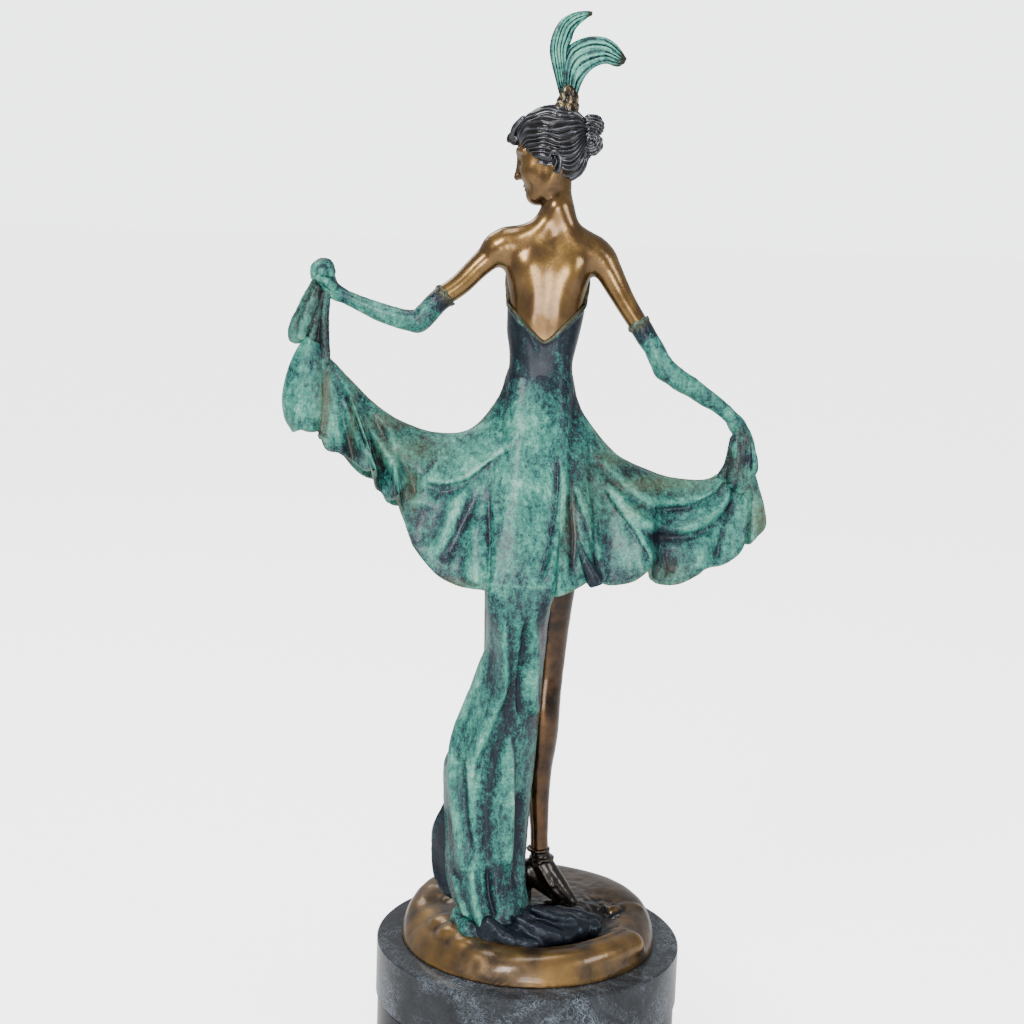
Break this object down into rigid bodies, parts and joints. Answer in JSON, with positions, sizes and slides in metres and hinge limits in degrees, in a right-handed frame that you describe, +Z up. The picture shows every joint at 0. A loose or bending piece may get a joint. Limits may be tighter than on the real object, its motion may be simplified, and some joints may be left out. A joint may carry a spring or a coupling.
{
  "type": "bronze statuette",
  "caption": "Patinated bronze dancer holding out a full skirt, feathered hair, on a rocky bronze ground and a round two-tier marble plinth.",
  "frame": {"origin": "centre of the felt pad's underside, on the plinth's axis", "axes": "+Z up; the dancer faces -Y, so the bare back is towards +Y and the left arm is towards +X"},
  "size_m": [0.2552, 0.17, 0.5697],
  "materials": {
    "felt": "matt felt",
    "dark_marble": "polished black marble",
    "veined_marble": "polished blue-black marble with pale veins",
    "zinc_steel": "bright zinc",
    "ground_bronze": "golden brown patina, polished on the high spots",
    "leg_bronze": "dark red-brown patina",
    "shoe_bronze": "dark brown patina",
    "skin_bronze": "waxed brown patina",
    "dress_patina": "waxed verdigris patina, dark in the hollows",
    "glove_patina": "waxed verdigris patina",
    "hair_patina": "near-black patina",
    "clasp_gold": "polished gold bronze",
    "plume_patina": "pale verdigris patina",
    "tenon_bronze": "bare bronze"
  },
  "bodies": {
    "root": {"felt_pad": "felt", "lower_plinth": "dark_marble", "upper_plinth": "veined_marble", "plinth_studs": "zinc_steel", "stud_washers": "zinc_steel", "stud_nuts": "zinc_steel", "ground_casting": "ground_bronze", "right_leg": "leg_bronze", "left_leg": "leg_bronze", "right_shoe": "shoe_bronze", "left_shoe": "shoe_bronze", "torso": "skin_bronze", "bodice": "dress_patina", "left_glove": "glove_patina", "right_glove": "glove_patina", "head": "skin_bronze", "hair_bun": "hair_patina", "hair_clasp": "clasp_gold", "upright_plume": "plume_patina", "drooping_plume": "plume_patina", "skirt_back": "dress_patina", "skirt_front": "dress_patina", "train": "dress_patina", "train_hem": "dress_patina", "left_gather": "dress_patina", "right_gather": "dress_patina", "arm_tenons": "tenon_bronze", "hip_tenons": "tenon_bronze", "neck_tenon": "tenon_bronze", "plume_tenon": "tenon_bronze", "shoe_tenons": "tenon_bronze"}
  },
  "joints": []
}
